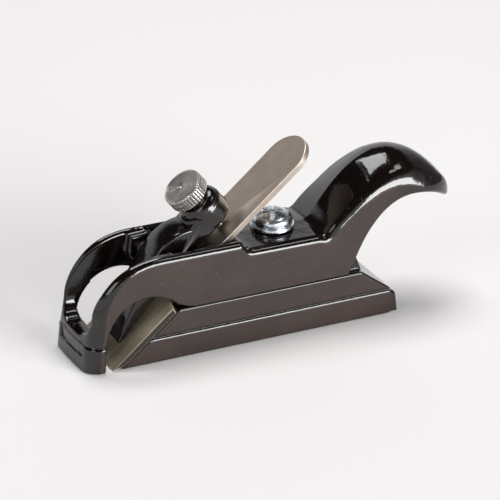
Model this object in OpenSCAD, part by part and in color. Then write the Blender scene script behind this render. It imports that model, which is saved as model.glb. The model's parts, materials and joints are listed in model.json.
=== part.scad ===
// Small bull-nose rabbet plane: two black castings that slide on each other,
// a shouldered cutter bedded at a steep angle, a lever cap that rocks on a
// cross rod under a knurled thumbscrew, and one binding screw that locks the
// mouth. +X runs from the toe to the heel, the sole lies on Z = 0.

/* [Sole and castings] */
// Length of the sole, toe to heel of the base
sole_l = 102; // [98:1:108]
// Width over the flat sides, the same as the cutter's
body_w = 25.4; // [24:0.2:28]
// Height of the base's shoulder, on which the upper casting slides
base_h = 15.5; // [14.5:0.5:16]
// Height of the deck around the binding screw
deck_h = 30; // [29:0.5:31]
// Height of the two side walls
wall_h = 32.5; // [32:0.5:34]
// Thickness of each side wall
wall_t = 3.3; // [2.8:0.1:3.6]
// Running gap between the two castings
slip = 0.05; // [0.03:0.01:0.1]

/* [Toe and mouth] */
// Length of the toe ahead of the mouth
toe_l = 6.1; // [5:0.1:6.5]
// Height of the bar across the toe
toe_bar_h = 9.4; // [8:0.2:11]
// Radius of the round escapement in each side wall
throat_r = 12.9; // [12:0.1:13.2]

/* [Handle] */
// Reach from the toe to the tip of the handle
overall_l = 122.8; // [121.6:0.2:122.8]
// Height of the handle's crest
handle_h = 49; // [46:0.5:52]

/* [Cutter] */
// Angle of the bed above the sole
bed_angle = 40.5; // [38:0.5:42]
// Thickness of the cutter
cutter_t = 2; // [1.6:0.1:2.2]
// Length of the cutter, edge to rounded top
cutter_l = 87; // [76:1:92]
// Width of the cutter's stem
stem_w = 15.7; // [12:0.1:16]
// Length of the full-width part below the shoulders
shoulder_l = 25; // [20:0.5:25.5]
// Height of the cutting edge above the sole at rest
edge_lift = 0.3; // [0.1:0.1:0.5]

/* [Lever cap and thumbscrew] */
// Width of the lever cap between the lugs
cap_w = 13; // [11:0.5:13]
// Height of the lever cap's hump above the cutter
hump_h = 12.4; // [12:0.2:14]
// Width of the hump
hump_w = 10.8; // [9.6:0.2:11]
// Diameter of the cross rod
rod_d = 4; // [3:0.5:4]
// Diameter of the knurled knob
knob_d = 12.4; // [10:0.2:14]
// Thickness of the knurled knob
knob_t = 4.6; // [3.5:0.1:5]
// Diameter of the threaded stud
stud_d = 5; // [4:0.5:5]

/* [Binding screw] */
// Diameter of the screw's shank
screw_d = 6; // [5:0.5:6]
// Diameter of the screw's domed head
head_d = 12; // [10:0.1:12.4]
// Diameter of the washer
washer_d = 13.2; // [12.5:0.1:14]
// Thickness of the washer
washer_t = 1.2; // [1:0.1:1.6]
// Travel of the upper casting on the base
mouth_travel = 1.5; // [1:0.5:2]

/* [Hidden] */
$fn = 64;

japan = [0.07, 0.06, 0.06];      // black japanned cast iron
blade_grey = [0.62, 0.58, 0.54]; // ground cutter steel
nickel = [0.78, 0.78, 0.76];     // plated knob and stud
zinc = [0.84, 0.86, 0.88];       // plated screw and washer

half_w = body_w / 2;
inner_w = body_w - 2 * wall_t;
over = 1;                        // how far cutting shapes pass the metal

// Bed: cutter_x is where the cutter's upper face meets the sole plane
cutter_x = 7.9;
bed_sin = sin(bed_angle);
bed_cos = cos(bed_angle);
bed_run = 1 / tan(bed_angle);    // run along X for each unit of height
ramp_x = cutter_x + (cutter_t + slip) / bed_sin;
edge_s = edge_lift / bed_sin;    // how far up the bed the edge sits at rest
edge_bevel = 30;                 // grinding angle of the cutting edge

// Base
groove_z = 7.8;                  // height of the V-groove along both sides
groove_w = 1.3;
groove_d = 0.5;
tongue_w = 20;                   // rib that guides the upper casting
tongue_h = 21.5;
tongue_rear = 89.9;
screw_x = 65;
thread_bottom = 6;

// Upper casting
heel_foot_x = 84.3;              // where its rear edge meets the base
deck_end_x = 75.5;
wall_end_x = 49;
back_gap = mouth_travel * bed_sin + 0.5;
back_x = cutter_x + (cutter_t + back_gap) / bed_sin;
arch_a = 21.9;                   // half-axes of the elliptical front arch
arch_b = wall_h - base_h + 0.5;
arch_x = 24;
arch_z = wall_h - arch_b;
throat_x = 19.5;
throat_z = 8.3;

// Lever cap, measured up the bed (s) and square to the cutter (h)
rod_s = 32;
rod_h = 8.8;
stud_s = 52.1;
cap_tip_s = 7;
cap_end_h = 9.4;
cap_lift = 4;                    // gap under its upper end
boss_h = 12.8;
hood_r = 3.3;                    // rounding at the top of the thumbscrew's boss
knob_h = 14.2;
running = 0.05;                  // radial clearance of pins and screws

function arc(cx, cy, rx, ry, a0, a1, n = 16) =
    [for (i = [0 : n]) let (a = a0 + (a1 - a0) * i / n) [cx + rx * cos(a), cy + ry * sin(a)]];
// Cubic curve from p to s, without its last point, so that curves can be chained
function curve(p, q, r, s, n = 10) =
    [for (i = [0 : n - 1]) let (t = i / n, u = 1 - t)
        u * u * u * p + 3 * u * u * t * q + 3 * u * t * t * r + t * t * t * s];

// Stand a drawing in X and Z up as a slab centred on Y
module slab(w) {
    rotate([90, 0, 0]) linear_extrude(w, center = true) children();
}
// Work along the bed: X up the cutter, Z square to its upper face
module on_bed() {
    translate([cutter_x, 0, 0]) rotate([0, -bed_angle, 0]) children();
}
// The origin is under the middle of the whole plane
module centred() {
    translate([-overall_l / 2, 0, 0]) children();
}
module pin_y(d, w) {
    rotate([90, 0, 0]) cylinder(d = d, h = w, center = true);
}

// ---- Base casting: sole, bed, shoulders and guiding tongue ----
module base_side() {
    heel = sole_l;
    polygon(concat(
        [[ramp_x, 0], [heel - 0.1, 0], [heel - 0.8, 5]],
        arc(heel - 2.8, 5.1, 2, 2.1, 0, 80, 6),
        [[heel - 3.2, groove_z + 0.6], [heel - 12.4, base_h - 0.4], [heel - 13.2, base_h],
         [ramp_x + base_h * bed_run, base_h]]));
}
module tongue_side() {
    polygon([[ramp_x + 10 * bed_run, 10], [tongue_rear, 10], [tongue_rear, base_h],
             [tongue_rear - 1.5, 19], [tongue_rear - 3.4, tongue_h],
             [ramp_x + tongue_h * bed_run, tongue_h]]);
}
module side_grooves(x0, x1) {
    for (side = [-1, 1])
        translate([x0, side * half_w, groove_z]) rotate([0, 90, 0])
            linear_extrude(x1 - x0) polygon([[-groove_w / 2, side * 0.01], [0, -side * groove_d],
                                             [groove_w / 2, side * 0.01]]);
}
module base() {
    color(japan) centred() difference() {
        union() {
            slab(body_w) base_side();
            slab(tongue_w) tongue_side();
        }
        side_grooves(ramp_x, sole_l + over);
        translate([screw_x, 0, thread_bottom]) cylinder(d = screw_d + 2 * running, h = 30);
    }
}

// ---- Upper casting: toe, arched walls, deck and handle ----
module body_side() {
    crest = [102.5, handle_h];
    front = [80.1, 35.2];
    tip = [overall_l - 0.1, 32.6];
    heel_low = [121.4, 30.9];
    hollow = [106, 37.3];
    polygon(concat(
        [[0, 0], [0.6, groove_z - 0.5], [1, groove_z + 0.6]],
        arc(arch_x, arch_z, arch_a, arch_b, 180, 90, 20),
        arc(wall_end_x, wall_h - 1.2, 1.2, 1.2, 90, 20, 4),
        arc(wall_end_x + 3.2, deck_h + 1.2, 1.2, 1.2, 200, 270, 4),
        curve([deck_end_x, deck_h], [77.2, deck_h], [78.5, 33.2], front, 6),
        curve(front, [84.5, 40.6], [91, handle_h], crest),
        curve(crest, [111, handle_h], [120, 41.5], tip),
        curve(tip, [overall_l, 31.6], [122.4, 30.3], heel_low, 4),
        curve(heel_low, [118, 34], [113, 37.3], hollow),
        curve(hollow, [96, 37.3], [89.5, 27.5], [heel_foot_x, base_h + slip], 14),
        [[heel_foot_x, base_h + slip], [33, base_h + slip], [33, 0]]));
}
// Plan outline: bowed toe with round corners, round tip
module body_plan() {
    toe_r = 3;
    tip_r = 14;
    bow = 0.6;
    polygon(concat(
        [for (i = [-4 : 4]) let (y = i * (half_w - toe_r) / 4, k = i / 4) [bow * k * k, -y]],
        arc(toe_r + bow, -half_w + toe_r, toe_r, toe_r, 180, 270, 6),
        arc(overall_l - tip_r, 0, tip_r, half_w, -90, 90, 24),
        arc(toe_r + bow, half_w - toe_r, toe_r, toe_r, 90, 180, 6)));
}
// End view: flat sides that draw in slightly above the deck, crowned handle
module body_end() {
    draft = 1.1;
    crown = 6;
    polygon(concat(
        [[-half_w, 0], [half_w, 0], [half_w, deck_h]],
        arc(0, handle_h - crown, half_w - draft, crown, 0, 180, 20),
        [[-half_w, deck_h]]));
}
// Everything between the walls, ahead of the deck
module cutter_bay() {
    slab(inner_w) polygon([[toe_l, -over], [back_x - over * bed_run, -over],
                           [back_x + 40 * bed_run, 40], [toe_l, 40]]);
    // U-shaped opening above the toe bar
    corner = 5;
    translate([-over, 0, 0]) rotate([90, 0, 90]) linear_extrude(toe_l + 2 * over)
        polygon(concat(
            arc(-inner_w / 2 + corner, toe_bar_h + corner, corner, corner, 180, 270, 8),
            arc(inner_w / 2 - corner, toe_bar_h + corner, corner, corner, 270, 360, 8),
            [[inner_w / 2, 40], [-inner_w / 2, 40]]));
}
// Round escapement with its rear corner eased into the sliding face
module escapement() {
    slab(body_w + 2 * over) union() {
        translate([throat_x, throat_z]) circle(r = throat_r);
        translate([toe_l, -over]) square([23, throat_z + over]);
        polygon([[27, base_h], [28.3, 17.9], [30.2, 16.9], [31.6, 16.05], [33.4, base_h + slip],
                 [33.4, -over], [27, -over]]);
    }
}
module lugs() {
    lug_t = (inner_w - cap_w) / 2 - 0.3;
    for (side = [-1, 1])
        translate([0, side * (inner_w / 2 - lug_t / 2), 0]) on_bed() translate([rod_s, 0, rod_h])
            slab(lug_t) union() {
                circle(d = 9.6);
                rotate(-bed_angle) translate([-6.5, -3]) square([8, 7.8]);
            }
}
module body() {
    slot_w = screw_d + 0.5;
    color(japan) centred() difference() {
        union() {
            difference() {
                intersection() {
                    slab(body_w) body_side();
                    linear_extrude(60) body_plan();
                    rotate([90, 0, 90]) linear_extrude(overall_l + over) body_end();
                }
                cutter_bay();
                escapement();
                translate([ramp_x, -tongue_w / 2 - 2 * slip, 0])
                    cube([100, tongue_w + 4 * slip, tongue_h + 0.4]);
            }
            lugs();
        }
        side_grooves(-over, toe_l + over);
        on_bed() translate([rod_s, 0, rod_h]) pin_y(rod_d, body_w - 3);
        for (x = [screw_x, screw_x + mouth_travel])
            translate([x, 0, base_h]) cylinder(d = slot_w, h = 20);
        translate([screw_x, -slot_w / 2, base_h]) cube([mouth_travel, slot_w, 20]);
    }
}

// ---- Cross rod, blind in both lugs ----
module cross_rod() {
    color(nickel) centred() on_bed() translate([rod_s, 0, rod_h]) pin_y(rod_d, body_w - 3);
}

// ---- Shouldered cutter ----
module cutter() {
    slant = 1.1;
    color(blade_grey) centred() on_bed() translate([edge_s, 0, -cutter_t]) difference() {
        linear_extrude(cutter_t) polygon(concat(
            [[0, -half_w], [shoulder_l - edge_s, -half_w],
             [shoulder_l - edge_s + slant, -stem_w / 2]],
            arc(cutter_l - edge_s - stem_w / 2, 0, stem_w / 2, stem_w / 2, -90, 90, 24),
            [[shoulder_l - edge_s + slant, stem_w / 2], [shoulder_l - edge_s, half_w],
             [0, half_w]]));
        translate([0, 0, cutter_t]) rotate([0, edge_bevel, 0])
            translate([-5, -half_w - over, -10]) cube([20, body_w + 2 * over, 10]);
    }
}

// ---- Lever cap ----
// Full-width part: foot on the cutter, shelf that rises to the round end
module cap_side() {
    end_s = stud_s + cap_w / 2;
    polygon([[cap_tip_s, slip], [cap_tip_s + 1.5, slip], [24, 2.6], [40, cap_lift],
             [end_s, cap_lift], [end_s, cap_end_h + 0.4], [45.5, 6.8], [38, 8], [rod_s, 11.2],
             [28, 10.6], [22, 9], [15, 6], [9.5, 2.4], [cap_tip_s, 0.9]]);
}
// Narrower hump from the foot up to the thumbscrew's boss
module hump_side() {
    polygon(concat(
        [[20, 5], [stud_s, 6], [stud_s, cap_end_h + 0.6], [48, cap_end_h + 0.4]],
        arc(rod_s + 4, hump_h - 14, 14, 14, 55, 105, 8),
        [[27, 11.4], [22, 9.8], [18, 7.8]]));
}
module cap_plan() {
    foot_w = 12;
    polygon(concat(
        [[cap_tip_s, -foot_w / 2], [20, -foot_w / 2], [25.2, -cap_w / 2]],
        arc(stud_s, 0, cap_w / 2, cap_w / 2, -90, 90, 20),
        [[25.2, cap_w / 2], [20, foot_w / 2], [cap_tip_s, foot_w / 2]]));
}
module lever_cap() {
    boss_r = cap_w / 2 - 0.4;
    color(japan) centred() on_bed() difference() {
        union() {
            intersection() {
                slab(body_w) cap_side();
                linear_extrude(20) cap_plan();
            }
            slab(hump_w) hump_side();
            translate([stud_s, 0, 0]) rotate_extrude() polygon(concat(
                [[0, cap_lift + 1], [boss_r, cap_lift + 1]],
                arc(boss_r - hood_r, boss_h - hood_r, hood_r, hood_r, 0, 90, 8),
                [[0, boss_h]]));
        }
        translate([rod_s, 0, rod_h]) pin_y(rod_d + 2 * running, body_w);
        translate([stud_s, 0, -over]) cylinder(d = stud_d + 2 * running, h = 20);
    }
}

// ---- Thumbscrew: stud that bears on the cutter, knurled knob ----
module thumbscrew_stud() {
    point_d = 2.4;
    point_l = 0.9;
    point_h = 2 * slip;
    color(nickel) centred() on_bed() translate([stud_s, 0, point_h]) union() {
        cylinder(d1 = point_d, d2 = stud_d, h = point_l);
        translate([0, 0, point_l]) cylinder(d = stud_d, h = knob_h + knob_t - 1.2 - point_l - point_h);
    }
}
module thumbscrew_knob() {
    collar_d = 8;
    edge = 0.6;
    color(nickel) centred() on_bed() translate([stud_s, 0, knob_h]) difference() {
        union() {
            translate([0, 0, boss_h - knob_h + 0.1]) cylinder(d = collar_d, h = 2);
            rotate_extrude() polygon([[0, 0], [knob_d / 2 - edge, 0], [knob_d / 2, edge],
                                      [knob_d / 2, knob_t - edge], [knob_d / 2 - edge, knob_t],
                                      [0, knob_t]]);
        }
        translate([0, 0, -5]) cylinder(d = stud_d + 2 * running, h = knob_t + 5 - 1.1);
    }
}

// ---- Binding screw and its washer ----
module screw_washer() {
    color(zinc) centred() translate([screw_x, 0, deck_h + slip]) difference() {
        cylinder(d = washer_d, h = washer_t);
        translate([0, 0, -over]) cylinder(d = screw_d + 2 * running, h = washer_t + 2 * over);
    }
}
module binding_screw() {
    head_h = 4.2;
    head_z = deck_h + 2 * slip + washer_t;
    recess = [6.4, 1.5, 1.8];
    shank_end = thread_bottom + 2;
    color(zinc) centred() translate([screw_x, 0, 0]) difference() {
        union() {
            translate([0, 0, shank_end]) cylinder(d = screw_d, h = head_z - shank_end + 0.5);
            translate([0, 0, head_z]) rotate_extrude() polygon(concat(
                [[0, 0], [head_d / 2 - 0.3, 0], [head_d / 2, 0.3], [head_d / 2, 1.9]],
                arc(0, 1.9, head_d / 2, head_h - 1.9, 4, 90, 14)));
        }
        for (turn = [0, 90])
            translate([0, 0, head_z + head_h - recess[2] / 2 + 0.1]) rotate(turn)
                cube(recess, center = true);
    }
}

base();
body();
cross_rod();
cutter();
lever_cap();
thumbscrew_stud();
thumbscrew_knob();
screw_washer();
binding_screw();
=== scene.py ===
"""Looks of a small bull-nose rabbet plane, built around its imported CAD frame.

Castings are modelled as solid fields (signed distances) and meshed with sharp edges kept.
Lengths in this script are millimetres from the toe along X, from the centre along Y and from the
sole along Z, unless a name says otherwise. Finished meshes are in metres in the row frame.
"""
import json
import math

import bmesh
import bpy
import numpy as np
from mathutils import Matrix, Vector


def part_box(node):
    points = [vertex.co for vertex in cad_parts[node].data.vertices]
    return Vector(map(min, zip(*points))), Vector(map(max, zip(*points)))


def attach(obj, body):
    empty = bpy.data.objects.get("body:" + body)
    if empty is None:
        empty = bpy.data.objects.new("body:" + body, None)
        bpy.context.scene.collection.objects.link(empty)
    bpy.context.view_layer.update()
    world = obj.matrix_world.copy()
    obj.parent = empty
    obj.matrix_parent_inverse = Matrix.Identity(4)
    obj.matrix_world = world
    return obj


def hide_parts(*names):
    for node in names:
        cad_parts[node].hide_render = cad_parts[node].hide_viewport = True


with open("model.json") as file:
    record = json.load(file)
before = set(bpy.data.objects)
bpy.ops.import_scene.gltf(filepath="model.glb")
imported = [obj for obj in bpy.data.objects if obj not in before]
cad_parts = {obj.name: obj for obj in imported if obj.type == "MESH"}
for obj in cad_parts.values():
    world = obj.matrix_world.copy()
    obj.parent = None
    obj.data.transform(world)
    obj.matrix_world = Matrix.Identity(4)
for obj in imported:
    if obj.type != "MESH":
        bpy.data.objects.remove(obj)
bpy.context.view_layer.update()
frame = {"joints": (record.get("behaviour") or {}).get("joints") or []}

MM = 0.001

# ---- Places and sizes, read from the frame ----
body_low, body_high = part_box("body")
base_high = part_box("base")[1]
washer_low, washer_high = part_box("screw_washer")
screw_low, screw_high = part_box("binding_screw")
rod_low, rod_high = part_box("cross_rod")
axes = {joint["name"]: joint["axis"] for joint in frame["joints"]}

TOE = Vector((body_low.x, 0, body_low.z))
HALF_W = (body_high.y - body_low.y) / 2 / MM
OVERALL = (body_high.x - body_low.x) / MM
CREST = (body_high.z - body_low.z) / MM
SOLE = (base_high.x - body_low.x) / MM
SCREW_X = ((washer_low.x + washer_high.x) / 2 - body_low.x) / MM
DECK = washer_low.z / MM
WASHER_R = (washer_high.x - washer_low.x) / 2 / MM
SHANK_END = screw_low.z / MM
HEAD_TOP = screw_high.z / MM

# Bed coordinates: s up the cutter, h square to its upper face
BED_S = Vector(axes["cutter_slide"]).normalized()
BED_H = Vector((-BED_S.z, 0, BED_S.x))
BED_SIN, BED_COS = BED_S.z, BED_S.x
BED_RUN = BED_COS / BED_SIN
ROD_S, ROD_H = 32, 8.8
ROD_R = (rod_high.z - rod_low.z) / 2 / MM
ROD_HALF = (rod_high.y - rod_low.y) / 2 / MM
rod_centre = (rod_low + rod_high) / 2
BED_ORIGIN = rod_centre - (ROD_S * BED_S + ROD_H * BED_H) * MM
CUTTER_X = (BED_ORIGIN.x - TOE.x) / MM

# ---- Design sizes shared by the pieces ----
BASE_H = 15.5                # sliding face between the two castings
WALL_H = 32.5
WALL_T = 3.3
INNER = HALF_W - WALL_T
SLIP = 0.05                  # gap between sliding faces
SKIN = 0.03                  # how far the sides stay inside the full width
DRAFT = 0.03                 # lean of the upper casting's sides, per unit of height
TOE_L = 6.1
TOE_BAR = 9.4
HANDLE_FRONT = (80.1, 35.2)
HANDLE_FOOT = 84.3           # where the handle's rear edge meets the base
HANDLE_HOLLOW = (106, 37.3)
TAIL = 15                    # length of the handle's rounded end
TONGUE_HALF = 10
TONGUE_H = 21.5
CUTTER_T = 2
RAMP_X = CUTTER_X + (CUTTER_T + SLIP) / BED_SIN
EDGE_LIFT = 0.3
GRIND = math.radians(30)
STUD_S = 52.1
STUD_R = 2.5
RUNNING = 0.05               # clearance round pins and studs
CAP_R = 6.5
CAP_TIP_S = 7
BOSS_H = 12.8
KNOB_H = 14.2
KNOB_R = 6.2
KNOB_T = 4.6
SCREW_HOLE_R = 3.05
HEAD_H = 4.2
RECESS_TURN = math.radians(62.6)
GROOVE_Z = 7.8
GROOVE_HALF = 0.65
GROOVE_DEEP = 0.5


# ---- Curves ----
def arc(cx, cy, rx, ry, start, end, n=16):
    """Points on an elliptical arc, angles in degrees."""
    turn = np.radians(np.linspace(start, end, n + 1))
    return [(cx + rx * math.cos(t), cy + ry * math.sin(t)) for t in turn]


def curve(p, q, r, s, n=12):
    """Points on a cubic curve from p to s, without the last one."""
    t = np.arange(n)[:, None] / n
    u = 1 - t
    p, q, r, s = (np.array(v, float) for v in (p, q, r, s))
    return [tuple(v) for v in u**3 * p + 3 * u * u * t * q + 3 * u * t * t * r + t**3 * s]


# ---- Solid fields: negative inside, about the distance to the surface in mm ----
class Outline:
    """Signed distance to a closed outline, kept in a table and read back between its points."""

    def __init__(self, points, pad=4.0, step=0.2):
        points = np.array(points, float)
        self.low = points.min(0) - pad
        self.step = step
        self.count = np.ceil((points.max(0) + pad - self.low) / step).astype(int) + 1
        u = self.low[0] + step * np.arange(self.count[0])[:, None]
        v = self.low[1] + step * np.arange(self.count[1])[None, :]
        nearest = np.full(tuple(self.count), 1e9)
        inside = np.zeros(tuple(self.count), bool)
        for a, b in zip(points, np.roll(points, -1, 0)):
            e = b - a
            du, dv = u - a[0], v - a[1]
            t = np.clip((du * e[0] + dv * e[1]) / max(e @ e, 1e-12), 0, 1)
            nearest = np.minimum(nearest, (du - t * e[0]) ** 2 + (dv - t * e[1]) ** 2)
            if a[1] != b[1]:
                inside ^= ((a[1] > v) != (b[1] > v)) & (u < e[0] * dv / e[1] + a[0])
        self.table = np.sqrt(nearest) * np.where(inside, -1, 1)

    def __call__(self, u, v):
        i = np.clip((u - self.low[0]) / self.step, 0, self.count[0] - 1.001)
        j = np.clip((v - self.low[1]) / self.step, 0, self.count[1] - 1.001)
        i0, j0 = i.astype(int), j.astype(int)
        fi, fj = i - i0, j - j0
        t = self.table
        near = t[i0, j0] * (1 - fi) + t[i0 + 1, j0] * fi
        far = t[i0, j0 + 1] * (1 - fi) + t[i0 + 1, j0 + 1] * fi
        return near * (1 - fj) + far * fj


def both(a, b, r):
    """What two fields share, with its edge rounded to radius r."""
    corner = np.sqrt(np.maximum(a + r, 0) ** 2 + np.maximum(b + r, 0) ** 2)
    return np.minimum(-r, np.maximum(a, b)) + corner


def join(a, b, r):
    """Two fields joined by a fillet of radius r."""
    corner = np.sqrt(np.maximum(r - a, 0) ** 2 + np.maximum(r - b, 0) ** 2)
    return np.maximum(r, np.minimum(a, b)) - corner


def cut(a, b, r):
    """The first field without the second, with its edge rounded."""
    return both(a, -b, r)


def blend_step(x, start, end):
    """0 before start, 1 after end, smooth between."""
    t = np.clip((x - start) / (end - start), 0, 1)
    return t * t * (3 - 2 * t)


def through(x, places, values):
    """A smooth course through values at places."""
    fine = np.linspace(places[0] - 12, places[-1] + 12, 900)
    course = np.interp(fine, places, values)
    window = np.hanning(31)
    padded = np.pad(course, 15, mode="edge")
    course = np.convolve(padded, window / window.sum(), mode="valid")
    return np.interp(x, fine, course)


# ---- Meshing ----
def gradients(field, points, eps=0.03):
    """Unit normals of a field at points."""
    out = np.empty_like(points)
    for axis in range(3):
        ahead, behind = points.copy(), points.copy()
        ahead[:, axis] += eps
        behind[:, axis] -= eps
        out[:, axis] = field(*ahead.T) - field(*behind.T)
    return out / np.maximum(np.linalg.norm(out, axis=1), 1e-9)[:, None]


def dual_mesh(field, low, high, step):
    """Mesh of a field's surface: one vertex in each crossed cell, on the surface's edges if it has any.

    The grid is laid so that the centre plane runs through the middle of a row of cells."""
    low = step * (np.floor(np.array(low, float) / step) - 1.5)
    count = np.ceil((np.array(high, float) + 1.5 * step - low) / step).astype(int) + 1
    grid = [low[a] + step * np.arange(count[a]) for a in range(3)]
    value = field(grid[0][:, None, None], grid[1][None, :, None], grid[2][None, None, :])
    value = np.broadcast_to(value, tuple(count))
    inside = value < 0
    strides = np.array([count[1] * count[2], count[2], 1])
    points, rings, flips = [], [], []
    for a in range(3):
        e, g = (a + 1) % 3, (a + 2) % 3
        first = [slice(None)] * 3
        second = [slice(None)] * 3
        first[a], second[a] = slice(None, -1), slice(1, None)
        first, second = tuple(first), tuple(second)
        at = np.argwhere(inside[first] != inside[second])
        v0, v1 = value[first][tuple(at.T)], value[second][tuple(at.T)]
        p = low + step * at
        p[:, a] += step * v0 / (v0 - v1)
        points.append(p)
        index = at @ strides
        rings.append(np.stack([index - strides[e] - strides[g], index - strides[g],
                               index, index - strides[e]], 1))
        flips.append(v0 > 0)
    points, rings = np.concatenate(points), np.concatenate(rings)
    flips = np.concatenate(flips)
    normals = gradients(field, points)
    cells, where = np.unique(rings.ravel(), return_inverse=True)
    where = where.reshape(rings.shape)
    verts = cell_points(points, normals, where, len(cells))
    corner = low + step * np.stack(np.unravel_index(cells, tuple(count)), 1)
    verts = np.clip(verts, corner + 0.03 * step, corner + 0.97 * step)
    where[flips] = where[flips][:, ::-1]
    return verts, where


def cell_points(points, normals, where, n, pull=0.04):
    """The point in each cell that lies nearest to the planes of the surface around it."""
    def total(weights):
        return sum(np.bincount(where[:, k], weights, n) for k in range(4))

    number = total(np.ones(len(points)))
    mean = np.stack([total(points[:, a]) for a in range(3)], 1) / number[:, None]
    offset = (points * normals).sum(1)
    square = np.empty((n, 3, 3))
    side = np.empty((n, 3))
    for a in range(3):
        side[:, a] = total(normals[:, a] * offset)
        for b in range(a, 3):
            square[:, a, b] = square[:, b, a] = total(normals[:, a] * normals[:, b])
    side -= np.einsum("nab,nb->na", square, mean)
    square += pull * number[:, None, None] * np.eye(3)
    return mean + np.linalg.solve(square, side[:, :, None])[:, :, 0]


def mesh_piece(name, verts, faces, smooth=True):
    """A mesh object from vertices in metres in the row frame."""
    mesh = bpy.data.meshes.new(name)
    mesh.from_pydata(verts.tolist(), [], faces.tolist() if hasattr(faces, "tolist") else faces)
    if smooth:
        mesh.shade_smooth()
    piece = bpy.data.objects.new(name, mesh)
    bpy.context.scene.collection.objects.link(piece)
    return piece


def from_toe(verts):
    """Millimetres from the toe to metres in the row frame."""
    return np.array(verts) * MM + np.array(TOE)


def from_bed(verts):
    """Bed millimetres (s, y, h) to metres in the row frame."""
    verts = np.array(verts)
    s, y, h = verts[:, :1], verts[:, 1:2], verts[:, 2:]
    across = np.array((0, 1, 0))
    return np.array(BED_ORIGIN) + MM * (s * np.array(BED_S) + y * across + h * np.array(BED_H))


def field_piece(name, field, low, high, step, place):
    """A piece meshed from a field."""
    verts, faces = dual_mesh(field, low, high, step * (1))
    return mesh_piece(name, place(verts), faces)


def lathe_piece(name, profile, place, columns=96, shape=None):
    """A closed profile of (radius, height, weight) turned about the height axis.

    shape(angle) is how far weighted points move in, for knurls."""
    profile = np.array(profile, float)
    turn = np.linspace(0, 2 * math.pi, columns, endpoint=False)
    inset = np.zeros(columns) if shape is None else shape(turn)
    radius = profile[:, 0][:, None] - profile[:, 2][:, None] * inset[None, :]
    height = np.repeat(profile[:, 1][:, None], columns, 1)
    verts = np.stack([radius * np.cos(turn), radius * np.sin(turn), height], 2).reshape(-1, 3)
    rows = len(profile)
    faces = []
    for i in range(rows):
        k = (i + 1) % rows
        for j in range(columns):
            m = (j + 1) % columns
            faces.append((i * columns + j, i * columns + m, k * columns + m, k * columns + j))
    return mesh_piece(name, place(verts), faces)


def finish_lathe(piece):
    """Welds the points on the axis and faces the normals outwards."""
    work = bmesh.new()
    work.from_mesh(piece.data)
    bmesh.ops.remove_doubles(work, verts=work.verts, dist=2e-6)
    bmesh.ops.dissolve_degenerate(work, edges=work.edges, dist=1e-7)
    bmesh.ops.recalc_face_normals(work, faces=work.faces)
    work.to_mesh(piece.data)
    work.free()
    piece.data.set_sharp_from_angle(angle=math.radians(38))
    return piece


# ---- Body casting ----
def body_top_outline():
    """Everything under the top of the arch, walls, deck and handle."""
    crest = (102.5, CREST)
    tip = (OVERALL - 0.1, 32.4)
    arch = arc(24, WALL_H - 17.5, 21.9, 17.5, 180, 90, 24)
    return Outline(
        [(0, -6), (0, 0), (0.6, GROOVE_Z - 0.5), (1, GROOVE_Z + 0.6)]
        + arch
        + arc(49, WALL_H - 1.2, 1.2, 1.2, 90, 20, 4)
        + arc(52.2, DECK + 1.2, 1.2, 1.2, 200, 270, 4)
        + curve((75.5, DECK), (77.2, DECK), (78.5, 33.2), HANDLE_FRONT, 8)
        + curve(HANDLE_FRONT, (84.5, 40.6), (91, CREST), crest, 16)
        + curve(crest, (110, CREST), (120, 41), tip, 16)
        + curve(tip, (OVERALL, 31.6), (OVERALL - 0.4, 30.6), (OVERALL - 1.4, 30.3), 6)
        + [(OVERALL - 1.4, 30.3), (OVERALL - 1.4, -6)])


def body_low_outline():
    """Everything over the sliding face and the hollow under the handle."""
    heel = (121.2, 30.6)
    foot = (HANDLE_FOOT, BASE_H + SLIP)
    return Outline(
        [(-6, 56), (-6, 0), (33, 0), (33, BASE_H + SLIP)]
        + curve(foot, (89.5, 27.5), (96, 37.3), HANDLE_HOLLOW, 18)
        + curve(HANDLE_HOLLOW, (112.5, 37.3), (117.8, 33.8), heel, 12)
        + [heel, (123.4, 29.8), (130, 27), (130, 56)])


def crown(x, span):
    """How far the top falls from the centre line to the side: a ridge that softens up the handle."""
    fall = through(x, (49, 53, 75, 79, 85, 92, 98, 103, 108, 112, 116, 120, 123),
                   (0, 0.45, 0.6, 2.6, 4.9, 5.9, 6.4, 6.9, 7.2, 6.4, 4.6, 2.6, 1.5))
    ridge = through(x, (50, 79, 86, 98), (1, 1, 0.85, 0))
    return fall * (ridge * span + (1 - ridge) * span * span)


def toe_bow(x, span):
    """How far the toe's face falls back towards its sides."""
    return 0.8 * span * span * (1 - blend_step(x, 3, 14))


def side_groove(z):
    """Depth of the V-groove along both castings."""
    return np.maximum(0, GROOVE_DEEP - np.abs(z - GROOVE_Z) * GROOVE_DEEP / GROOVE_HALF)


def build_shell_field():
    """Outside of the upper casting, without its bay."""
    top = body_top_outline()
    low = body_low_outline()

    def shell(x, across, z):
        span = across / HALF_W
        side_half = HALF_W - DRAFT * np.maximum(z - BASE_H - 2, 0)
        end = np.maximum(x - (OVERALL - TAIL), 0) / TAIL
        plan = (np.sqrt(end**2 + (across / side_half) ** 2) - 1) * side_half
        above = top(x - toe_bow(x, span), z + crown(x, span))
        edge = 4.2 - 2.2 * blend_step(x, 2, 16) + 0.7 * blend_step(x, 78, 92)
        edge = edge - 1.7 * blend_step(x, 110, 121)
        solid = both(above, plan, edge)
        solid = solid + side_groove(z) * (1 - blend_step(x, 7, 8))
        solid = np.maximum(solid, across - HALF_W + SKIN)
        under = 0.3 + 0.7 * blend_step(x, HANDLE_FOOT, 92) + 0.7 * blend_step(x, 105, 116)
        return both(solid, low(x, z), under)

    return shell


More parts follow.
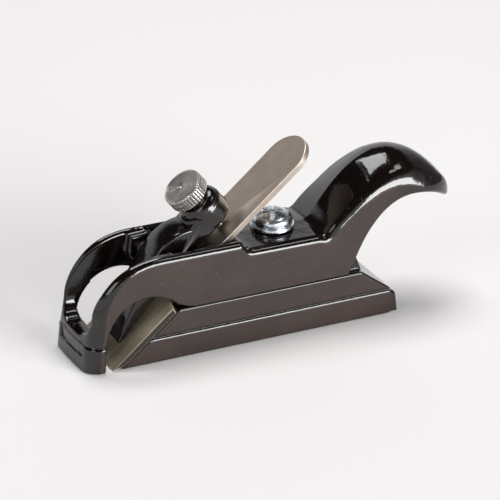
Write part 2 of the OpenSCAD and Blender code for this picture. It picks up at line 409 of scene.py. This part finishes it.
def build_bay_field():
    """Room between the walls, open at the front over the toe bar."""
    back_x = CUTTER_X + (CUTTER_T + 2 * BED_SIN + 0.5) / BED_SIN
    bay = Outline([(TOE_L, -8), (back_x - 8 * BED_RUN, -8), (back_x + 44 * BED_RUN, 44), (TOE_L, 44)])
    corner = 6.0

    def opened(x, across, z):
        du = np.maximum(across - (INNER - corner), 0)
        dz = np.maximum(TOE_BAR + corner - z, 0)
        notch = np.sqrt(du**2 + dz**2) - corner
        notch = np.maximum(notch, np.maximum(across - INNER, TOE_BAR - z))
        hollow = both(bay(x, z), across - INNER, 0.6)
        return np.minimum(hollow, np.maximum(notch, x - TOE_L - 2))

    return opened


def throat_outline():
    """Openings through both walls, where shavings come out."""
    return Outline(
        [(TOE_L, -8), (TOE_L, 8.3)]
        + arc(19.5, 8.3, 12.9, 12.9, 176, 42, 30)
        + curve((29.4, 17.1), (30.6, 16.4), (31.8, 15.9), (34, BASE_H + SLIP), 6)
        + [(38, BASE_H - 1), (38, -8)])


def lug_outline():
    """Side of the lugs that hold the cross rod."""
    lug_x = CUTTER_X + ROD_S * BED_COS - ROD_H * BED_SIN
    lug_z = ROD_S * BED_SIN + ROD_H * BED_COS
    return Outline(arc(lug_x, lug_z, 4.6, 4.6, -165, 75, 20)
                   + [(lug_x + 1, 31.6), (lug_x - 3.8, 31.4), (lug_x - 4.4, 27.5)])


def build_body_field():
    """The upper casting as a field of toe millimetres."""
    shell = build_shell_field()
    opened = build_bay_field()
    throat = throat_outline()
    lug = lug_outline()
    lug_in = CAP_R + 0.3

    def field(x, y, z):
        across = np.abs(y)
        inner_edge = 0.5 + 0.8 * blend_step(z, 18, 26)
        solid = cut(shell(x, across, z), opened(x, across, z), inner_edge)
        lugs = both(lug(x, z), np.maximum(lug_in - across, across - INNER - 1), 0.9)
        solid = join(solid, lugs, 1)
        solid = cut(solid, throat(x, z) + 0 * across, 0.45)
        # channel for the tongue, and the slot under the washer
        channel = np.maximum(across - TONGUE_HALF - 0.1, np.maximum(z - TONGUE_H - 0.4, RAMP_X - x))
        solid = cut(solid, channel, 0.2)
        slot_x = np.maximum(np.abs(x - SCREW_X - 1) - 1, 0)
        slot = np.maximum(np.sqrt(slot_x**2 + across**2) - 3.25, BASE_H - z)
        solid = cut(solid, slot, 0.3)
        # plain recessed panel across the toe
        panel = np.maximum(across - 7.6, np.abs(z - 5.6) - 1.5)
        return cut(solid, np.maximum(panel, x - 0.9 - toe_bow(x, across / HALF_W)), 0.2)

    return field


def make_body():
    return field_piece("body_casting", build_body_field(), (0, -HALF_W, 0),
                       (OVERALL, HALF_W, CREST), 0.4, from_toe)


# ---- Base casting ----
def build_base_field():
    """Sole, bed, shoulders, guiding tongue and screw hole."""
    shoulder = Outline(
        [(RAMP_X, 0), (SOLE - 0.1, 0), (SOLE - 0.8, 5)]
        + arc(SOLE - 2.8, 5.1, 2, 2.1, 0, 80, 6)
        + [(SOLE - 3.2, GROOVE_Z + 0.6), (SOLE - 12.4, BASE_H - 0.4), (SOLE - 13.2, BASE_H),
           (RAMP_X + BASE_H * BED_RUN, BASE_H)])
    rear = 89.9
    tongue = Outline([(RAMP_X + 8 * BED_RUN, 8), (rear, 8), (rear, BASE_H), (rear - 1.5, 19),
                      (rear - 3.4, TONGUE_H), (RAMP_X + TONGUE_H * BED_RUN, TONGUE_H)])

    def field(x, y, z):
        across = np.abs(y)
        heel_corner = 0.6 + 0.7 * blend_step(x, SOLE - 4, SOLE - 2)
        wide = both(shoulder(x, z), across - HALF_W + side_groove(z), heel_corner)
        narrow = both(tongue(x, z), across - TONGUE_HALF, 0.4)
        solid = np.minimum(wide, narrow)
        hole = np.maximum(np.sqrt((x - SCREW_X) ** 2 + across**2) - SCREW_HOLE_R, 6 - z)
        solid = cut(solid, hole, 0.3)
        return np.maximum(solid, across - HALF_W + SKIN)

    return field


def make_base():
    return field_piece("base_casting", build_base_field(), (0, -HALF_W, 0),
                       (SOLE, HALF_W, TONGUE_H), 0.4, from_toe)


# ---- Lever cap ----
def build_cap_field():
    """Lever cap in bed millimetres: foot, shelf with a round end, hump and boss."""
    tip_s = CAP_TIP_S
    end_s = STUD_S + CAP_R
    shelf_side = Outline(
        [(tip_s, SLIP), (tip_s + 1.5, SLIP), (24, 2.6), (40, 4), (end_s, 4), (end_s, 9.6)]
        + [(STUD_S + 2, 9.6), (34, 5.0), (31, 6.0), (27.5, 7.4)]
        + [(22, 7.2), (15, 4.6), (9.5, 2.0), (tip_s, 0.9)], step=0.1)
    hump_side = Outline(
        [(12, 2.4), (STUD_S - 3, 4.4), (STUD_S - 1, 10), (48, 10.2)]
        + arc(37, -1.6, 14, 14, 55, 100, 10)
        + [(31.5, 11.6), (27, 10.2), (20, 7.6), (14, 4.8)], step=0.1)
    wide = 6
    plan = Outline(
        [(tip_s, -wide), (20, -wide), (25.2, -CAP_R)]
        + arc(STUD_S, 0, CAP_R, CAP_R, -90, 90, 24)
        + [(25.2, CAP_R), (20, wide), (tip_s, wide)], step=0.1)

    def field(s, y, h):
        across = np.abs(y)
        shelf = both(shelf_side(s, h), plan(s, y), 0.5)
        lean = 0.12 * np.maximum(h - 6, 0)
        hump = both(hump_side(s, h + 0.02 * across**2), across - 5.6 + lean, 0.7)
        solid = join(shelf, hump, 1.1)
        radial = np.sqrt((s - STUD_S) ** 2 + across**2)
        hood = both(radial - CAP_R, h - BOSS_H, 3.3)
        solid = join(solid, both(hood, 5 - h, 0.4), 0.8)
        pin = np.sqrt((s - ROD_S) ** 2 + (h - ROD_H) ** 2) - ROD_R - RUNNING
        solid = cut(solid, pin + 0 * across, 0.25)
        return cut(solid, radial - STUD_R - RUNNING, 0.3)

    return field


def make_lever_cap():
    return field_piece("lever_cap_casting", build_cap_field(), (CAP_TIP_S, -CAP_R, 0),
                       (STUD_S + CAP_R, CAP_R, BOSS_H), 0.27, from_bed)


# ---- Turned and threaded pieces ----
def at_stud(verts):
    """Turned about the stud's axis, height measured square to the cutter."""
    verts = np.array(verts)
    return from_bed(np.stack([verts[:, 0] + STUD_S, verts[:, 1], verts[:, 2]], 1))


def at_screw(verts):
    verts = np.array(verts)
    return from_toe(verts + np.array((SCREW_X, 0, 0)))


def along_rod(verts):
    """Turned about the cross rod's axis, which lies along Y."""
    verts = np.array(verts)
    return from_bed(np.stack([verts[:, 0] + ROD_S, verts[:, 2], verts[:, 1] + ROD_H], 1))


def knurl(turn, teeth=40, deep=0.45):
    """Flat-topped straight knurl."""
    phase = (turn * teeth / (2 * math.pi)) % 1
    return deep * np.clip(1.9 * np.abs(phase - 0.5) - 0.45, 0, 0.5) * 2


def make_knob():
    top = KNOB_H + KNOB_T
    foot = BOSS_H + 0.1
    bore = STUD_R + RUNNING
    rim = KNOB_R - 0.55
    profile = [
        (bore, foot, 0), (3.8, foot, 0), (4, foot + 0.2, 0), (4, KNOB_H - 0.2, 0),
        (4.2, KNOB_H, 0), (5.5, KNOB_H, 0), (5.9, KNOB_H + 0.25, 0.4), (KNOB_R, KNOB_H + 0.6, 1),
        (KNOB_R, top - 0.65, 1), (KNOB_R - 0.05, top - 0.5, 0.6), (rim + 0.12, top - 0.06, 0),
        (rim, top, 0), (rim - 0.25, top, 0), (rim - 0.4, top - 0.14, 0), (3.4, top - 0.18, 0),
        (1, top - 0.2, 0), (0.62, top - 0.3, 0), (0.3, top - 0.52, 0), (0, top - 0.58, 0),
        (0, top - 1.15, 0), (bore, top - 1.15, 0)]
    return finish_lathe(lathe_piece("thumbscrew_knob_turned", profile, at_stud, 40 * 8, knurl))


def thread(radial, turn, height, radius, pitch, deep):
    """Field of a threaded shank."""
    phase = (height / pitch - turn / (2 * math.pi)) % 1
    ridge = np.clip(2.6 * np.abs(phase - 0.5) - 0.15, 0, 1)
    return radial - radius + deep * ridge


def build_stud_field():
    """Stud with a rolled thread and a blunt point that bears on the cutter."""
    low, high = 2 * SLIP, KNOB_H + KNOB_T - 1.2

    def field(x, y, h):
        radial = np.sqrt(x * x + y * y)
        shank = thread(radial, np.arctan2(y, x), h, STUD_R - 0.02, 0.8, 0.32) * 0.8
        point = (radial - 1.2 - (h - low) * 1.3) * 0.6
        return np.maximum(np.maximum(shank, point), np.maximum(low - h, h - high))

    return field, low, high


def make_stud():
    field, low, high = build_stud_field()
    return field_piece("thumbscrew_stud_threaded", field, (-STUD_R, -STUD_R, low),
                       (STUD_R, STUD_R, high), 0.14, at_stud)


def make_rod():
    r, half = ROD_R - 0.01, ROD_HALF
    profile = [(0, -half, 0), (r - 0.4, -half, 0), (r, -half + 0.4, 0), (r, half - 0.4, 0),
               (r - 0.4, half, 0), (0, half, 0)]
    return finish_lathe(lathe_piece("cross_rod_turned", profile, along_rod, 64))


def make_washer():
    low, high = washer_low.z / MM, washer_high.z / MM
    hole = SCREW_HOLE_R
    r = WASHER_R
    profile = [(hole, low, 0), (r - 0.25, low, 0), (r, low + 0.3, 0), (r, high - 0.35, 0),
               (r - 0.12, high - 0.12, 0), (r - 0.4, high, 0), (hole + 0.25, high, 0),
               (hole, high - 0.2, 0)]
    return finish_lathe(lathe_piece("screw_washer_stamped", profile, at_screw, 112))


def build_screw_field():
    """Domed head with a cross recess and slot, over a threaded shank."""
    head_r = (screw_high.x - screw_low.x) / 2 / MM
    head_z = HEAD_TOP - HEAD_H
    collar = 0.9
    rise = HEAD_TOP - head_z - collar
    turn_cos, turn_sin = math.cos(RECESS_TURN), math.sin(RECESS_TURN)

    def field(x, y, z):
        radial = np.sqrt(x * x + y * y)
        dome = np.sqrt(radial**2 + (np.maximum(z - head_z - collar, 0) * head_r / rise) ** 2)
        dome = (dome - head_r) * np.where(z > head_z + collar, 0.75, 1)
        head = both(dome, head_z - z, 0.3)
        deep = HEAD_TOP - z
        long_u = 3.4 - 0.5 * deep
        half_t = 0.85 - 0.12 * deep
        ax = np.abs(x * turn_cos + y * turn_sin)
        ay = np.abs(y * turn_cos - x * turn_sin)
        wing = np.minimum(np.maximum(ax - long_u, ay - half_t), np.maximum(ay - long_u, ax - half_t))
        recess = np.maximum(wing, deep - 2.1)
        slot = np.maximum(np.maximum(ay - 0.62, ax - 4.9), deep - 1.5)
        head = cut(head, np.minimum(recess, slot), 0.18)
        shank = thread(radial, np.arctan2(y, x), z, 2.98, 1, 0.36) * 0.8
        plain = radial - 2.95
        shank = np.where(z > BASE_H, plain, shank)
        shank = np.maximum(shank, np.maximum(SHANK_END - z, z - head_z - 1))
        return np.minimum(head, shank)

    return field, head_r


def make_screw():
    field, head_r = build_screw_field()
    return field_piece("binding_screw_plated", field, (-head_r, -head_r, SHANK_END),
                       (head_r, head_r, HEAD_TOP), 0.17, at_screw)


# ---- Cutter ----
def make_cutter():
    """Shouldered blade with a ground edge and eased corners."""
    edge_s = EDGE_LIFT / BED_SIN
    shoulder_s, slant = 25, 1.1
    stem = 7.85
    end_s = 87
    grind = CUTTER_T / math.tan(GRIND)
    upper = [(edge_s, -HALF_W), (shoulder_s, -HALF_W), (shoulder_s + slant, -stem)]
    upper += arc(end_s - stem, 0, stem, stem, -90, 90, 40)
    upper += [(shoulder_s + slant, stem), (shoulder_s, HALF_W), (edge_s, HALF_W)]
    lower = [(s + grind if abs(s - edge_s) < 0.01 else s, y) for s, y in upper]
    top = from_bed([(s, y, 0) for s, y in upper])
    bottom = from_bed([(s, y, -CUTTER_T) for s, y in lower])
    n = len(upper)
    faces = [list(range(n)), list(range(2 * n - 1, n - 1, -1))]
    faces += [[(i + 1) % n, i, n + i, n + (i + 1) % n] for i in range(n)]
    piece = mesh_piece("cutter_ground", np.concatenate([top, bottom]), faces)
    work = bmesh.new()
    work.from_mesh(piece.data)
    bmesh.ops.recalc_face_normals(work, faces=work.faces)
    weight = work.edges.layers.float.new("bevel_weight_edge")
    keen_z = (BED_ORIGIN + BED_S * edge_s * MM).z
    for e in work.edges:
        keen = all(abs(v.co.z - keen_z) < 1e-6 for v in e.verts)
        turned = e.calc_face_angle(0) > math.radians(20)
        e[weight] = 0.0 if keen or not turned else 1.0
    work.to_mesh(piece.data)
    work.free()
    bevel = piece.modifiers.new("eased", "BEVEL")
    bevel.width = 0.3 * MM
    bevel.segments = 3
    bevel.limit_method = "WEIGHT"
    bevel.harden_normals = True
    return piece


# ---- Materials ----
class Nodes:
    """Short helpers for one node material."""

    def __init__(self, name):
        self.material = bpy.data.materials.new(name)
        self.material.use_nodes = True
        self.tree = self.material.node_tree
        self.shader = self.tree.nodes["Principled BSDF"]
        self.place = self.new("ShaderNodeTexCoord")

    def new(self, kind, **values):
        node = self.tree.nodes.new(kind)
        for key, value in values.items():
            setattr(node, key, value)
        return node

    def link(self, a, b):
        self.tree.links.new(a, b)

    def number(self, operation, a, b=0.0, clamp=False):
        node = self.new("ShaderNodeMath", operation=operation, use_clamp=clamp)
        for socket, value in zip(node.inputs, (a, b)):
            if isinstance(value, (int, float)):
                socket.default_value = value
            else:
                self.link(value, socket)
        return node.outputs[0]

    def ramp(self, value, low, high, out_low=0.0, out_high=1.0):
        node = self.new("ShaderNodeMapRange", interpolation_type="SMOOTHSTEP")
        self.link(value, node.inputs["Value"])
        values = {"From Min": low, "From Max": high, "To Min": out_low, "To Max": out_high}
        for key, v in values.items():
            node.inputs[key].default_value = v
        return node.outputs["Result"]

    def scaled(self, scale, turn=(0, 0, 0), source=None):
        node = self.new("ShaderNodeMapping")
        node.inputs["Scale"].default_value = scale
        node.inputs["Rotation"].default_value = turn
        self.link(source or self.place.outputs["Object"], node.inputs["Vector"])
        return node.outputs["Vector"]

    def noise(self, vector, scale, detail=3.0, rough=0.55):
        node = self.new("ShaderNodeTexNoise")
        self.link(vector, node.inputs["Vector"])
        node.inputs["Scale"].default_value = scale
        node.inputs["Detail"].default_value = detail
        node.inputs["Roughness"].default_value = rough
        return node.outputs["Fac"]

    def split(self, vector):
        node = self.new("ShaderNodeSeparateXYZ")
        self.link(vector, node.inputs[0])
        return node.outputs

    def mix(self, factor, a, b):
        node = self.new("ShaderNodeMix", data_type="RGBA")
        if isinstance(factor, (int, float)):
            node.inputs[0].default_value = factor
        else:
            self.link(factor, node.inputs[0])
        for socket, value in ((node.inputs[6], a), (node.inputs[7], b)):
            if isinstance(value, tuple):
                socket.default_value = (*value, 1)
            else:
                self.link(value, socket)
        return node.outputs[2]

    def bump(self, height, distance, strength=1.0, normal=None):
        node = self.new("ShaderNodeBump")
        node.inputs["Distance"].default_value = distance
        node.inputs["Strength"].default_value = strength
        self.link(height, node.inputs["Height"])
        if normal is not None:
            self.link(normal, node.inputs["Normal"])
        return node.outputs["Normal"]

    def set(self, **values):
        for key, value in values.items():
            socket = self.shader.inputs[key.replace("_", " ")]
            if isinstance(value, (int, float)):
                socket.default_value = value
            elif isinstance(value, tuple):
                socket.default_value = (*value, 1) if len(value) == 3 else value
            else:
                self.link(value, socket)
        return self.material


def japan_material(name, cast=0.0):
    """Glossy black japanning over cast iron: browner and rougher on the flat outer sides, with pale
    specks.
    """
    m = Nodes(name)
    here = m.place.outputs["Object"]
    peel = m.noise(here, 260, 2)
    grain = m.noise(here, 2600, 3)
    smudge = m.noise(m.scaled((1, 1, 1.6)), 55, 4)
    facing = m.split(m.place.outputs["Normal"])
    spot = m.split(here)
    # Mask of the flat outer sides that face across, fading out towards the handle's tail; they get a
    # browner, rougher tone
    sideways = m.ramp(m.number("ABSOLUTE", facing["Y"]), 0.965, 0.995)
    outer = m.ramp(m.number("ABSOLUTE", spot["Y"]), 0.0107, 0.0115)
    tail = m.ramp(spot["X"], TOE.x + 0.094, TOE.x + 0.112, 1.0, 0.08)
    ground = m.number("MULTIPLY", m.number("MULTIPLY", sideways, outer), tail)
    specks = m.ramp(m.noise(here, 1500, 1), 0.715, 0.76)
    haze = m.mix(m.ramp(smudge, 0.3, 0.75), (0.0180, 0.0090, 0.0064), (0.0245, 0.0126, 0.0092))
    color = m.mix(ground, (0.0040, 0.0022, 0.0018), haze)
    color = m.mix(m.number("MULTIPLY", specks, 0.35), color, (0.16, 0.14, 0.12))
    rough = m.number("ADD", m.ramp(smudge, 0.3, 0.8, 0.055, 0.12), m.number("MULTIPLY", ground, 0.2))
    rough = m.number("ADD", rough, m.ramp(grain, 0.4, 0.8, 0.0, 0.05 + cast))
    normal = m.bump(peel, 0.00006 + 0.00022 * cast)
    normal = m.bump(grain, 0.000006 + 0.00005 * cast, normal=normal)
    return m.set(Base_Color=color, Roughness=rough, IOR=1.6, Normal=normal)


def steel_material():
    """Ground cutter steel, brushed up its length, with stains; low down it is painted light (less
    metallic, diffuse olive) to lift it out of shade, and its side faces are painted dark as shade.
    """
    m = Nodes("cutter_steel")
    bed_turn = math.atan2(BED_SIN, BED_COS)
    lined = m.scaled((25, 900, 25), (0, bed_turn, 0))
    scratch = m.noise(lined, 3.0, 4, 0.65)
    fine = m.noise(m.scaled((120, 3500, 120), (0, bed_turn, 0)), 1.0, 2)
    stain = m.noise(m.place.outputs["Object"], 120, 5, 0.6)
    # Lower part: painted light, a diffuse olive tone and less metal so it reads lit where it lies in
    # shade
    low = m.ramp(m.split(m.place.outputs["Object"])["Z"], 0.017, 0.024, 1.0, 0.0)
    color = m.mix(m.ramp(stain, 0.35, 0.75), (0.68, 0.575, 0.485), (0.55, 0.465, 0.39))
    color = m.mix(m.ramp(scratch, 0.45, 0.75, 0.0, 0.5), color, (0.60, 0.55, 0.50))
    painted_light_low_tone = m.mix(m.ramp(scratch, 0.35, 0.7), (0.52, 0.45, 0.325), (0.33, 0.28, 0.195))
    color = m.mix(low, color, painted_light_low_tone)
    facing = m.split(m.place.outputs["Normal"])
    # Side faces painted darker: painted shade, nearly black on the lower part
    side = m.ramp(m.number("ABSOLUTE", facing["Y"]), 0.9, 0.97)
    color = m.mix(m.number("MULTIPLY", side, 0.4), color, (0.10, 0.088, 0.08))
    color = m.mix(m.number("MULTIPLY", side, low), color, (0.022, 0.019, 0.016))
    rough = m.number("ADD", m.ramp(scratch, 0.2, 0.8, 0.30, 0.44), m.ramp(stain, 0.5, 0.8, 0, 0.08))
    normal = m.bump(scratch, 0.000012)
    normal = m.bump(fine, 0.000006, normal=normal)
    metal = m.number("SUBTRACT", 1.0, m.number("MULTIPLY", low, 0.7))
    return m.set(Base_Color=color, Metallic=metal, Roughness=rough, Normal=normal)


def nickel_material():
    """Nickel plate with turning rings round the face of the knob."""
    m = Nodes("nickel_plate")
    centre = BED_ORIGIN + (BED_S * STUD_S + BED_H * (KNOB_H + KNOB_T)) * MM
    reach = m.new("ShaderNodeVectorMath", operation="DISTANCE")
    m.link(m.place.outputs["Object"], reach.inputs[0])
    reach.inputs[1].default_value = centre
    wobble = m.noise(m.place.outputs["Object"], 900, 2)
    phase = m.number("ADD", m.number("MULTIPLY", reach.outputs["Value"], 2 * math.pi / 0.00042),
                     m.number("MULTIPLY", wobble, 5.0))
    rings = m.ramp(m.number("SINE", phase), -1, 1)
    grime = m.noise(m.place.outputs["Object"], 420, 5, 0.7)
    color = m.mix(m.ramp(grime, 0.42, 0.72), (0.52, 0.50, 0.475), (0.33, 0.315, 0.30))
    color = m.mix(m.number("MULTIPLY", rings, 0.5), color, (0.25, 0.24, 0.23))
    rough = m.number("ADD", m.ramp(grime, 0.3, 0.8, 0.20, 0.36), m.number("MULTIPLY", rings, 0.06))
    normal = m.bump(rings, 0.00003)
    normal = m.bump(grime, 0.00002, normal=normal)
    return m.set(Base_Color=color, Metallic=1.0, Roughness=rough, Normal=normal)


def zinc_material():
    """Bright zinc plate, faintly blue and mottled."""
    m = Nodes("zinc_plate")
    here = m.place.outputs["Object"]
    spangle = m.noise(here, 800, 3)
    fine = m.noise(here, 5200, 2)
    color = m.mix(m.ramp(spangle, 0.38, 0.68), (0.74, 0.78, 0.83), (0.56, 0.60, 0.66))
    rough = m.number("ADD", m.ramp(spangle, 0.3, 0.7, 0.16, 0.3), m.ramp(fine, 0.4, 0.8, 0, 0.06))
    normal = m.bump(spangle, 0.00003)
    normal = m.bump(fine, 0.000008, normal=normal)
    return m.set(Base_Color=color, Metallic=1.0, Roughness=rough, Normal=normal)


def rod_material():
    """Plain steel rod with drawing lines."""
    m = Nodes("plain_steel")
    lines = m.noise(m.scaled((900, 40, 900)), 3, 3)
    color = m.mix(m.ramp(lines, 0.35, 0.7), (0.46, 0.44, 0.42), (0.30, 0.28, 0.26))
    rough = m.ramp(lines, 0.2, 0.8, 0.28, 0.45)
    return m.set(Base_Color=color, Metallic=1.0, Roughness=rough, Normal=m.bump(lines, 0.00001))


# ---- Assembly ----
def add(piece, body, node, material):
    piece.data.materials.clear()
    piece.data.materials.append(material)
    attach(piece, body)
    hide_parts(node)


japan = japan_material("japanned_iron")
rough_japan = japan_material("japanned_iron_cast", 0.12)
steel = steel_material()
nickel = nickel_material()
zinc = zinc_material()

add(make_base(), "base", "base", japan)
add(make_body(), "body", "body", japan)
add(make_rod(), "body", "cross_rod", rod_material())
add(make_cutter(), "cutter", "cutter", steel)
add(make_lever_cap(), "lever_cap", "lever_cap", rough_japan)
add(make_stud(), "thumbscrew_stud", "thumbscrew_stud", nickel)
add(make_knob(), "thumbscrew_knob", "thumbscrew_knob", nickel)
add(make_washer(), "screw_washer", "screw_washer", zinc)
add(make_screw(), "binding_screw", "binding_screw", zinc)


# ---- Floor, light and camera ----
def make_floor():
    """Plain pale floor, wide enough to fill every view."""
    reach = 4.0
    rim = [(reach * math.cos(t), reach * math.sin(t), -0.0002)
           for t in np.linspace(0, 2 * math.pi, 64, endpoint=False)]
    floor = mesh_piece("floor", np.array(rim), [list(range(64))], smooth=False)
    m = Nodes("floor")
    paper = m.noise(m.place.outputs["Object"], 3, 2)
    color = m.mix(m.ramp(paper, 0.3, 0.7), (0.85, 0.832, 0.828), (0.835, 0.818, 0.814))
    m.set(Base_Color=color, Roughness=1.0, Specular_IOR_Level=0.1)
    floor.data.materials.append(m.material)


def softbox(name, toward, distance, size, radiance, tint=(1, 1, 1)):
    """Area light that faces the plane from a direction, with a set radiance."""
    data = bpy.data.lights.new(name, "AREA")
    data.shape = "RECTANGLE"
    data.size, data.size_y = size
    data.energy = radiance * math.pi * size[0] * size[1]
    data.color = tint
    lamp = bpy.data.objects.new(name, data)
    bpy.context.scene.collection.objects.link(lamp)
    direction = Vector(toward).normalized()
    lamp.location = direction * distance
    lamp.rotation_mode = "QUATERNION"
    lamp.rotation_quaternion = direction.to_track_quat("Z", "Y")


def make_world():
    """Dark studio ceiling over a pale sweep that rises behind the table."""
    world = bpy.data.worlds.new("studio")
    world.use_nodes = True
    tree = world.node_tree
    sky = tree.nodes["Background"]
    place = tree.nodes.new("ShaderNodeTexCoord")
    apart = tree.nodes.new("ShaderNodeSeparateXYZ")
    rise = tree.nodes.new("ShaderNodeValToRGB")
    tree.links.new(place.outputs["Generated"], apart.inputs[0])
    lean = tree.nodes.new("ShaderNodeMath")
    lean.operation = "MULTIPLY_ADD"
    tree.links.new(apart.outputs["X"], lean.inputs[0])
    lean.inputs[1].default_value = -0.13
    tree.links.new(apart.outputs["Z"], lean.inputs[2])
    tree.links.new(lean.outputs[0], rise.inputs[0])
    steps = rise.color_ramp
    steps.elements[0].position, steps.elements[0].color = 0.0, (0.95, 0.93, 0.94, 1)
    steps.elements[1].position, steps.elements[1].color = 1.0, (0.02, 0.02, 0.02, 1)
    for position, grey in ((0.42, 0.9), (0.455, 0.45), (0.51, 0.04)):
        steps.elements.new(position).color = (grey, grey * 0.98, grey, 1)
    heel_side = tree.nodes.new("ShaderNodeMapRange")
    tree.links.new(apart.outputs["X"], heel_side.inputs["Value"])
    for key, v in (("From Min", 0.6), ("From Max", 0.85), ("To Min", 1.0), ("To Max", 0.2)):
        heel_side.inputs[key].default_value = v
    tree.links.new(heel_side.outputs["Result"], sky.inputs["Strength"])
    tree.links.new(rise.outputs["Color"], sky.inputs["Color"])
    bpy.context.scene.world = world


def make_camera():
    """Camera at the plane's three-quarter view from the toe."""
    turn, lift, roll = math.radians(27.38), math.radians(25.55), math.radians(1.32)
    distance = 0.879
    target = Vector((-0.00345, 0, 0.02336))
    back = Vector((-math.sin(turn) * math.cos(lift), -math.cos(turn) * math.cos(lift), math.sin(lift)))
    right = Vector((math.cos(turn), -math.sin(turn), 0))
    up = back.cross(right)
    right, up = (right * math.cos(roll) + up * math.sin(roll),
                 up * math.cos(roll) - right * math.sin(roll))
    data = bpy.data.cameras.new("camera")
    data.sensor_width = 36
    data.lens = 216
    data.clip_start, data.clip_end = 0.01, 50
    camera = bpy.data.objects.new("camera", data)
    bpy.context.scene.collection.objects.link(camera)
    axes_now = Matrix((right, up, back)).transposed().to_4x4()
    camera.matrix_world = Matrix.Translation(target + back * distance) @ axes_now
    bpy.context.scene.camera = camera


make_floor()
make_world()
softbox("overhead", (0.03, 0.26, 0.956), 1.15, (0.7, 0.55), 7.0)
softbox("front_high", (0.41, -0.30, 0.86), 1.3, (0.5, 0.16), 5.0)
softbox("front_low", (0.41, -0.89, 0.235), 1.6, (1.1, 0.6), 14.0)
softbox("fill", (-0.75, -0.35, 0.56), 1.4, (0.5, 0.5), 3.0)
make_camera()
bpy.context.scene.view_settings.view_transform = "Standard"
